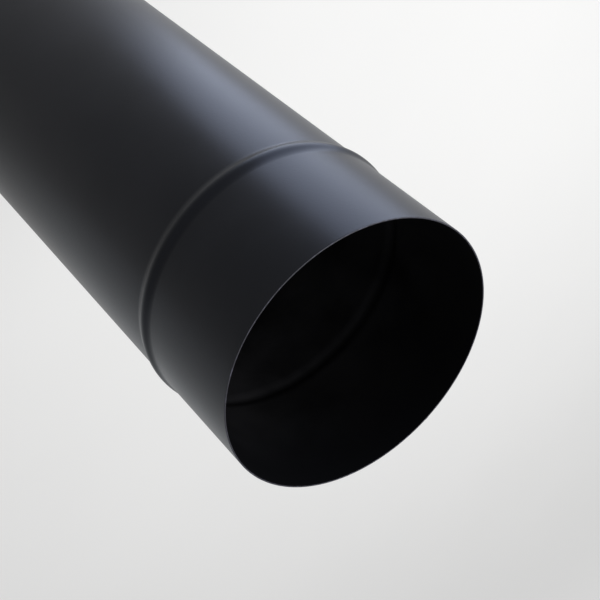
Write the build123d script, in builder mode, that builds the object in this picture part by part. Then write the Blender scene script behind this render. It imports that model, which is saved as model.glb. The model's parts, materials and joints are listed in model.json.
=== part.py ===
from build123d import *

import os
from math import atan, degrees

# Straight length of single-wall stove pipe, in millimetres. It stands on its socket end,
# centred on the origin, with +Z along the pipe towards the beaded spigot end.

# Tube, rolled from one steel sheet
pipe_diameter = 150.0       # outside of the plain wall and of the spigot
wall = 0.7                  # sheet thickness, the same through bead and socket
pipe_length = 500.0         # rim to rim
rim_deburr = 0.15           # chamfer on the two corners of each cut rim

# Stop bead, rolled outwards into the wall
bead_setback = 75.0         # spigot rim to the middle of the bead
bead_width = 13.5           # foot to foot, along the pipe
bead_height = 1.5           # proud of the plain wall
bead_crest_share = 0.375    # part of each side that is the round of the crest, before the wider foot

# Socket, expanded to take the spigot of the next length up to its bead
socket_clearance = 0.4      # gap all round an entered spigot
socket_spare = 5.0          # depth left past the rim of a spigot that is in up to the foot of its bead
flare_length = 9.0          # socket wall to plain wall, along the pipe

# Weld that closes the tube from rim to rim, crowned outside and flush inside
weld_width = 4.0            # fused metal, across the middle of the wall
weld_crown = 0.25           # proud of the wall
weld_bearing = 90.0         # degrees round the pipe from +X

pipe_radius = pipe_diameter / 2
bead_half_width = bead_width / 2
bead_lower_foot = pipe_length - bead_setback - bead_half_width
spigot_length = bead_setback - bead_half_width
socket_depth = spigot_length + socket_spare
flare_step = socket_clearance + wall
socket_radius = pipe_radius + flare_step
weld_root = -wall / 2


def ogee(wall_line, step, run, first_share=0.5):
    """Carry the wall outwards by step over run with two tangent arcs, and return the second one."""
    both_radii = (step**2 + run**2) / (2 * abs(step))
    turn = degrees(2 * atan(step / run))
    outward = JernArc(wall_line @ 1, wall_line % 1, both_radii * first_share, -turn)
    return JernArc(outward @ 1, outward % 1, both_radii * (1 - first_share), turn)


def outer_wall():
    """Draw the outside of the pipe as one smooth line, from the socket rim up to the spigot rim."""
    socket_wall = Line((socket_radius, 0), (socket_radius, socket_depth))
    flare = ogee(socket_wall, -flare_step, flare_length)
    plain_wall = Line(flare @ 1, (pipe_radius, bead_lower_foot))
    bead_rise = ogee(plain_wall, bead_height, bead_half_width, 1 - bead_crest_share)
    bead_fall = ogee(bead_rise, -bead_height, bead_half_width, bead_crest_share)
    Line(bead_fall @ 1, (pipe_radius, pipe_length))


with BuildPart() as pipe:
    with BuildSketch(Plane.XZ) as wall_section:
        with BuildLine():
            outer_wall()
            offset(amount=wall, side=Side.LEFT, closed=True)
        make_face()
        corners_by_height = wall_section.vertices().group_by(Axis.Y)
        chamfer(corners_by_height[0] + corners_by_height[-1], rim_deburr)
    revolve(axis=Axis.Z)

    weld_plane = Plane.XZ.rotated((0, 0, weld_bearing))
    with BuildLine(weld_plane) as weld_path:
        outer_wall()
    weld_start = Plane(weld_path.line @ 0, x_dir=weld_plane.z_dir, z_dir=weld_path.line % 0)
    with BuildSketch(weld_start):
        with BuildLine():
            crown = ThreePointArc((-weld_width / 2, weld_root), (0, weld_crown), (weld_width / 2, weld_root))
            Line(crown @ 1, crown @ 0)
        make_face()
    sweep(path=weld_path.line)

pipe.part.label = "pipe"
os.makedirs("parts", exist_ok=True)
export_step(pipe.part, "parts/pipe.step")
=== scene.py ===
import json
from math import asin, copysign, cos, degrees, pi, radians, sin, sqrt

import bpy
from mathutils import Matrix, Vector


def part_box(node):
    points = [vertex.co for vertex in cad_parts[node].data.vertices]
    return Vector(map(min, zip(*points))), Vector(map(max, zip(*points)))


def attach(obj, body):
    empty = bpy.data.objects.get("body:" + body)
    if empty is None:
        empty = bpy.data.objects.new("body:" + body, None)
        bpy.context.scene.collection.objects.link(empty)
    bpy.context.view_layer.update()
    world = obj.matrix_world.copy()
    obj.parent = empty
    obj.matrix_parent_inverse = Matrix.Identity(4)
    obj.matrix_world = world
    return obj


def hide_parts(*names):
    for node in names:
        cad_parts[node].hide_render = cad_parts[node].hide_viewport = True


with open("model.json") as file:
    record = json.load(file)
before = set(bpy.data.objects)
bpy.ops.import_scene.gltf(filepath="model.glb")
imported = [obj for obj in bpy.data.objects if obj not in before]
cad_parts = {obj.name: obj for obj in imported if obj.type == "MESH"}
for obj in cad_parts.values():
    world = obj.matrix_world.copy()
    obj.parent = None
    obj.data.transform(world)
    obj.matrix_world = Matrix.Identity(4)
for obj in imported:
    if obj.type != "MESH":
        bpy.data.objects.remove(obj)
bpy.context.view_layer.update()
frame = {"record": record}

# A straight length of single-wall stove pipe in satin black paint. It stands on its socket end
# with the beaded spigot end up, and the camera looks down on that end. Lengths are in metres.

mm = 0.001

# Sizes that the frame gives
record = frame["record"]
mounts = {mount["name"]: mount for mount in record["mounts"]}
pipe_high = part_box("pipe")[1]
paint_black = record["materials"][0]["base_color"]


def straight_wall(name):
    """Radius, lower end and upper end of the straight wall that a mount names."""
    half_length = mounts[name]["dims"]["length_mm"] * mm / 2
    middle = mounts[name]["pos_m"][2]
    return mounts[name]["dims"]["r_mm"] * mm, middle - half_length, middle + half_length


pipe_radius, spigot_foot, spigot_end = straight_wall("spigot")
socket_bore, socket_end, socket_top = straight_wall("socket")
pipe_top = pipe_high.z
rim_round = pipe_top - spigot_end
bead_height = pipe_high.x - pipe_radius

# Sheet, bead and flare
wall = 0.7 * mm
bead_width = 13.5 * mm
bead_crest_share = 0.375    # part of each side that is the round of the crest, before the wider foot
flare_length = 9 * mm
flare_step = socket_bore + wall - pipe_radius

# Weld down the back of the pipe
weld_bearing = 90.0         # degrees round the pipe from +X
weld_width = 4 * mm
weld_crown = 0.25 * mm      # proud of the wall
ripple_pitch = 1.5 * mm     # one ripple to the next, along the weld
ripple_bow = 150            # how strongly each ripple bows back towards the edges of the weld

# Grain of the finishes
spray_cloud = 40 * mm
orange_peel = 1.2 * mm
spray_grit = 0.35 * mm
spray_depth = 0.03 * mm
thin_patch = 2.5 * mm
shear_mark = 0.15 * mm
shear_depth = 0.02 * mm
flue_cloud = 30 * mm
flue_grit = 0.6 * mm
floor_mottle = 250 * mm

# Studio
floor_size = 8.0
floor_fade_start = 1.0      # from the pipe's foot outwards, the floor gives way to the backdrop
floor_fade_end = 2.2
room_glow = 0.45
backdrop_grey = 0.8
cold_blue = (0.69, 0.78, 1.0)
pale_blue = (0.8, 0.9, 1.0)

# Camera, fitted to the photograph
focal_length = 76.55        # millimetres, with the sensor's width
sensor_width = 36
camera_back = 477.4 * mm    # in front of the pipe's axis
camera_rise = 368.4 * mm    # above the spigot rim
camera_turn = 0.12          # degrees, as are the tilt up from straight down and the roll
camera_tilt = 48.56
camera_roll = 132.27

# Mesh
plain_columns = 192
weld_columns = 16
straight_rows = 20
curve_rows = 14
corner_rows = 4
OUTSIDE, RIM, INSIDE = range(3)


class Value:
    """A socket in a node tree. Arithmetic on it adds Math nodes, and node() adds any other kind."""

    def __init__(self, tree, socket=None):
        self.tree = tree
        self.socket = socket

    def node(self, kind, settings=None, inputs=None, output=0):
        """Add a node, set it up, then give each named input its value or its link."""
        node = self.tree.nodes.new(kind)
        for name, setting in (settings or {}).items():
            setattr(node, name, setting)
        for name, given in (inputs or {}).items():
            if isinstance(given, Value):
                self.tree.links.new(given.socket, node.inputs[name])
            else:
                node.inputs[name].default_value = given
        return Value(self.tree, node.outputs[output] if node.outputs else None)

    def math(self, operation, *values):
        return self.node("ShaderNodeMath", {"operation": operation}, dict(enumerate(values)))

    def __add__(self, other):
        return self.math("ADD", self, other)

    def __sub__(self, other):
        return self.math("SUBTRACT", self, other)

    def __rsub__(self, other):
        return self.math("SUBTRACT", other, self)

    def __mul__(self, other):
        return self.math("MULTIPLY", self, other)

    __radd__ = __add__
    __rmul__ = __mul__

    def between(self, low, high):
        """0 where this value is at low, 1 where it is at high, and smooth in between."""
        span = {"Value": self, "From Min": low, "From Max": high}
        return self.node("ShaderNodeMapRange", {"interpolation_type": "SMOOTHSTEP"}, span)

    def colour(self, at_zero, at_one):
        """Mix two colours by this value."""
        mix = {0: self, 6: at_zero, 7: at_one}
        return self.node("ShaderNodeMix", {"data_type": "RGBA"}, mix, output=2)

    def noise(self, grain, detail, stretch=(1, 1, 1)):
        """Noise about this place, with a grain in metres and a stretch along each axis."""
        scale = [1 / (grain * factor) for factor in stretch]
        fine = self.node("ShaderNodeVectorMath", {"operation": "MULTIPLY"}, {0: self, 1: scale})
        return self.node("ShaderNodeTexNoise", None, {"Vector": fine, "Scale": 1.0, "Detail": detail})

    def along(self, axis):
        """One coordinate of this place."""
        return self.node("ShaderNodeSeparateXYZ", None, {0: self}, axis)

    def bump(self, depth):
        """A surface normal from this height, where 1 stands for a depth in metres."""
        return self.node("ShaderNodeBump", None, {"Height": self, "Distance": depth})


def material(surface):
    """Make a material, named as the function that is given its tree and returns its shader."""
    made = bpy.data.materials.new(surface.__name__)
    made.use_nodes = True
    made.node_tree.nodes.clear()
    tree = Value(made.node_tree)
    tree.node("ShaderNodeOutputMaterial", None, {"Surface": surface(tree)})
    return made


def grey(level, cool=1.0):
    """A grey, with its blue raised or lowered by a factor."""
    return (level, level, level * cool, 1.0)


def paint(share):
    """The paint's own black, deepened to a share of itself."""
    return (*[share * tone for tone in paint_black], 1.0)


def satin_paint(tree):
    """Sprayed heat-proof black: fine orange peel, cloudy gloss, and ripples where it covers the weld."""
    place = tree.node("ShaderNodeTexCoord", output="Object")
    x = place.along("X")
    cloud = place.noise(spray_cloud, detail=3)
    peel = place.noise(orange_peel, detail=1)
    grit = place.noise(spray_grit, detail=0)
    near_weld = tree.math("ABSOLUTE", x).between(weld_width * 0.4, weld_width * 0.25)
    over_weld = near_weld * place.along("Y").between(0, pipe_radius / 2)
    ripple = tree.math("SINE", (place.along("Z") + x * x * ripple_bow) * (2 * pi / ripple_pitch))
    height = peel * 0.7 + grit * 0.3 + ripple * over_weld * 0.4
    return tree.node("ShaderNodeBsdfPrincipled", None, {
        "Base Color": cloud.between(0.3, 0.7).colour(paint(0.22), paint(0.32)),
        "Roughness": 0.31 + cloud * 0.05 + peel * 0.03 + over_weld * 0.06,
        "Specular IOR Level": 0.13,
        "Specular Tint": (0.72, 0.79, 1.0, 1.0),
        "Normal": height.bump(spray_depth),
    })


def cut_edge(tree):
    """Sheared edge of the sheet, where the paint is thin and grey steel shows through in places."""
    place = tree.node("ShaderNodeTexCoord", output="Object")
    paler_share = place.noise(thin_patch, detail=3).between(0.45, 0.75)
    shear = place.noise(shear_mark, detail=1, stretch=(1, 1, 8))
    return tree.node("ShaderNodeBsdfPrincipled", None, {
        "Base Color": paler_share.colour(grey(0.01, 1.6), grey(0.05, 1.35)),
        "Metallic": paler_share * 0.5,
        "Roughness": 0.38 + shear * 0.1,
        "Specular IOR Level": 0.24,
        "Normal": shear.bump(shear_depth),
    })


def flue_paint_with_painted_light(tree):
    """Flat black inside, with soft clouds of overspray. Away from the ends the colour turns greyer:
    painted light that lifts the shade deep in the bore.
    """
    place = tree.node("ShaderNodeTexCoord", output="Object")
    z = place.along("Z")
    cloud = place.noise(flue_cloud, detail=4)
    grit = place.noise(flue_grit, detail=2)
    from_end = tree.math("MINIMUM", z, pipe_top - z)
    # Painted light: greyer with distance from the nearer end, standing in for light deep in the bore,
    # broken up by the overspray clouds.
    paler_share = from_end.between(0, pipe_radius * 2) * cloud.between(0.1, 0.8)
    return tree.node("ShaderNodeBsdfPrincipled", None, {
        "Base Color": paler_share.colour(grey(0.002, 1.2), grey(0.03, 1.1)),
        "Roughness": 0.65 + cloud * 0.12,
        "Specular IOR Level": 0.04,
        "Normal": grit.bump(spray_depth),
    })


def pale_floor(tree):
    """Matt studio sweep with a barely seen mottle, which fades out into the backdrop."""
    place = tree.node("ShaderNodeTexCoord", output="Object")
    mottle = place.noise(floor_mottle, detail=3)
    away = tree.node("ShaderNodeVectorMath", {"operation": "LENGTH"}, {0: place}, output="Value")
    return tree.node("ShaderNodeBsdfPrincipled", None, {
        "Base Color": mottle.colour(grey(0.78, 0.995), grey(0.82, 0.995)),
        "Roughness": 0.8 + mottle * 0.1,
        "Specular IOR Level": 0.2,
        "Alpha": away.between(floor_fade_end, floor_fade_start),
    })


def spaced(start, length, rows):
    """Heights along a run, closer together near its two ends. The last one is left to the next run."""
    return [start + length * (1 - cos(pi * row / rows)) / 2 for row in range(rows)]


def ogee(along, step, run, first_share):
    """Offset and slope part of the way along a step in the wall that is two tangent arcs."""
    both_radii = (step**2 + run**2) / (2 * abs(step))
    in_first = along < run * first_share
    radius = both_radii * (first_share if in_first else 1 - first_share)
    from_end = along if in_first else run - along
    depth = sqrt(radius**2 - from_end**2)
    rise = copysign(radius - depth, step)
    return (rise if in_first else step - rise), copysign(from_end / depth, step)


def outer_line():
    """Points up the outside of the wall, each with its outward direction, all as (radius, height)."""
    flare_end = socket_top + flare_length
    half_bead = bead_width / 2
    bead_foot = spigot_foot - bead_width
    socket_radius = pipe_radius + flare_step
    crest_radius = pipe_radius + bead_height
    runs = (
        (socket_end, socket_top - socket_end, socket_radius, 0, 0, straight_rows),
        (socket_top, flare_length, socket_radius, -flare_step, 0.5, curve_rows),
        (flare_end, bead_foot - flare_end, pipe_radius, 0, 0, 2 * straight_rows),
        (bead_foot, half_bead, pipe_radius, bead_height, 1 - bead_crest_share, curve_rows),
        (bead_foot + half_bead, half_bead, crest_radius, -bead_height, bead_crest_share, curve_rows),
        (spigot_foot, spigot_end - spigot_foot, pipe_radius, 0, 0, straight_rows),
    )
    points = []
    for start, length, radius, step, first_share, rows in runs:
        for height in spaced(start, length, rows):
            offset, slope = ogee(height - start, step, length, first_share) if step else (0, 0)
            outward = Vector((1, -slope)).normalized()
            points.append((Vector((radius + offset, height)), outward))
    points.append((Vector((pipe_radius, spigot_end)), Vector((1, 0))))
    return points


def corner(centre, start_angle):
    """Points round a quarter of a small round, without its two ends."""
    for row in range(1, corner_rows):
        angle = radians(start_angle + 90 * row / corner_rows)
        outward = Vector((cos(angle), sin(angle)))
        yield centre + rim_round * outward, outward


def rim(outer_end, inner_end, up):
    """Rounds and flat of a cut end, from its first wall to its second. up is 1 at the top, -1 below."""
    level = outer_end.y
    first, second = (outer_end, inner_end) if up > 0 else (inner_end, outer_end)
    inset = Vector((rim_round if first.x < second.x else -rim_round, 0))
    angle = 0 if up > 0 else 180
    points = list(corner(first + inset, angle))
    for end in (first + inset, second - inset):
        points.append((Vector((end.x, level + up * rim_round)), Vector((0, up))))
    return points + list(corner(second - inset, angle + 90))


def wall_section():
    """The closed section of the wall: each point, its outward direction and the finish after it."""
    outer = outer_line()
    inner = [(point - wall * outward, -outward) for point, outward in reversed(outer)]
    top = rim(outer[-1][0], inner[0][0], 1)
    foot = rim(outer[0][0], inner[-1][0], -1)
    finishes = [OUTSIDE] * (len(outer) - 1) + [RIM] * (len(top) + 1)
    finishes += [INSIDE] * (len(inner) - 1) + [RIM] * (len(foot) + 1)
    return [(*point, finish) for point, finish in zip(outer + top + inner + foot, finishes)]


def columns():
    """Bearings round the pipe, with closer ones across the weld."""
    half_weld = degrees(asin(weld_width / 2 / pipe_radius))
    weld = [weld_bearing + half_weld * (2 * i / weld_columns - 1) for i in range(weld_columns)]
    rest = 360 - 2 * half_weld
    return weld + [weld_bearing + half_weld + rest * i / plain_columns for i in range(plain_columns)]


def weld_rise(across):
    """How far the crown of the weld stands proud of the wall, at a distance across it."""
    root = wall / 2
    depth = weld_crown + root
    radius = (depth**2 + (weld_width / 2) ** 2) / (2 * depth)
    if abs(across) >= weld_width / 2:
        return 0.0
    return max(0.0, sqrt(radius**2 - across**2) - radius + weld_crown)


def pipe_points(section, bearings):
    """The section's points at each bearing, raised outside where the weld is."""
    points = []
    for bearing in bearings:
        angle = radians(bearing)
        turn = radians(bearing - weld_bearing)
        rise = weld_rise(pipe_radius * sin(turn)) if cos(turn) > 0 else 0.0
        for point, outward, _ in section:
            radius = point.x + rise * max(0.0, outward.x)
            points.append((radius * cos(angle), radius * sin(angle), point.y))
    return points


def pipe_faces(rows, bearings):
    """Four-sided faces that join each column of points to the next, right round the pipe."""
    faces = []
    for column in range(bearings):
        here = column * rows
        there = (column + 1) % bearings * rows
        for row in range(rows):
            above = (row + 1) % rows
            faces.append((here + row, there + row, there + above, here + above))
    return faces


def build_pipe():
    """Turn the section round the axis, with the weld raised, in place of the plain solid."""
    section = wall_section()
    bearings = columns()
    mesh = bpy.data.meshes.new("painted_pipe")
    mesh.from_pydata(pipe_points(section, bearings), [], pipe_faces(len(section), len(bearings)))
    for finish in (satin_paint, cut_edge, flue_paint_with_painted_light):
        mesh.materials.append(material(finish))
    mesh.polygons.foreach_set("material_index", [finish for *_, finish in section] * len(bearings))
    mesh.shade_smooth()
    pipe = bpy.data.objects.new("painted_pipe", mesh)
    bpy.context.scene.collection.objects.link(pipe)
    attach(pipe, "root")
    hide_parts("pipe")
    return pipe


def build_floor():
    """A flat square that the pipe stands on."""
    half = floor_size / 2
    corners = [(-half, -half, 0), (half, -half, 0), (half, half, 0), (-half, half, 0)]
    mesh = bpy.data.meshes.new("floor")
    mesh.from_pydata(corners, [], [(0, 1, 2, 3)])
    mesh.materials.append(material(pale_floor))
    floor = bpy.data.objects.new("floor", mesh)
    bpy.context.scene.collection.objects.link(floor)


def soft_box(name, place, aim, width, height, brightness, colour=(1, 1, 1), only=None):
    """A rectangular lamp with an even face, turned to shine at a point, on all or on one object only."""
    lamp = bpy.data.lights.new(name, "AREA")
    lamp.shape = "RECTANGLE"
    lamp.size = width
    lamp.size_y = height
    lamp.energy = 4 * width * height * brightness
    lamp.color = colour
    holder = bpy.data.objects.new(name, lamp)
    holder.location = place
    holder.rotation_euler = (Vector(aim) - Vector(place)).to_track_quat("-Z", "Y").to_euler()
    holder.visible_camera = False
    bpy.context.scene.collection.objects.link(holder)
    if only:
        lit = bpy.data.collections.new(f"lit_by_{name}")
        lit.objects.link(only)
        holder.light_linking.receiver_collection = lit


def build_lamps(pipe):
    """One lamp overhead for all, and one on each side of the pipe, for the pipe alone."""
    soft_box(
        "overhead",
        place=(-0.5, 0.3, 1.4),
        aim=(-0.5, 0.3, 0),
        width=1.1,
        height=1.1,
        brightness=3.7,
    )
    soft_box(
        "left",
        place=(-0.275, -0.095, 0.3),
        aim=(0, -0.095, 0.3),
        width=0.29,
        height=0.60,
        brightness=3.8,
        colour=cold_blue,
        only=pipe,
    )
    soft_box(
        "right",
        place=(0.275, 0.12, 0.3),
        aim=(0, 0.12, 0.3),
        width=0.50,
        height=0.60,
        brightness=0.23,
        colour=pale_blue,
        only=pipe,
    )


def build_world():
    """An even grey glow for light, and a pale backdrop for what looks past the floor, mirrored or not."""
    world = bpy.data.worlds.new("studio")
    world.use_nodes = True
    world.node_tree.nodes.clear()
    tree = Value(world.node_tree)
    camera, glossy, through = (
        tree.node("ShaderNodeLightPath", output=f"Is {kind} Ray")
        for kind in ("Camera", "Glossy", "Transmission")
    )
    seen = tree.math("MAXIMUM", tree.math("MAXIMUM", camera, glossy), through)
    dim = tree.node("ShaderNodeBackground", None, {"Color": grey(1), "Strength": room_glow})
    pale = tree.node("ShaderNodeBackground", None, {"Color": grey(backdrop_grey), "Strength": 1.0})
    backdrop = tree.node("ShaderNodeMixShader", None, {0: seen, 1: dim, 2: pale})
    tree.node("ShaderNodeOutputWorld", None, {"Surface": backdrop})
    bpy.context.scene.world = world


def build_camera():
    """The photograph's view: down on the spigot end from in front, rolled so that the pipe slants."""
    lens = bpy.data.cameras.new("camera")
    lens.lens = focal_length
    lens.sensor_width = sensor_width
    camera = bpy.data.objects.new("camera", lens)
    place = Matrix.Translation((0, -camera_back, pipe_top + camera_rise))
    turn = Matrix.Rotation(radians(camera_turn), 4, "Z")
    tilt = Matrix.Rotation(radians(camera_tilt), 4, "X")
    roll = Matrix.Rotation(radians(camera_roll), 4, "Z")
    camera.matrix_world = place @ turn @ tilt @ roll
    bpy.context.scene.collection.objects.link(camera)
    bpy.context.scene.camera = camera


painted_pipe = build_pipe()
build_floor()
build_lamps(painted_pipe)
build_world()
build_camera()
bpy.context.scene.view_settings.view_transform = "Standard"
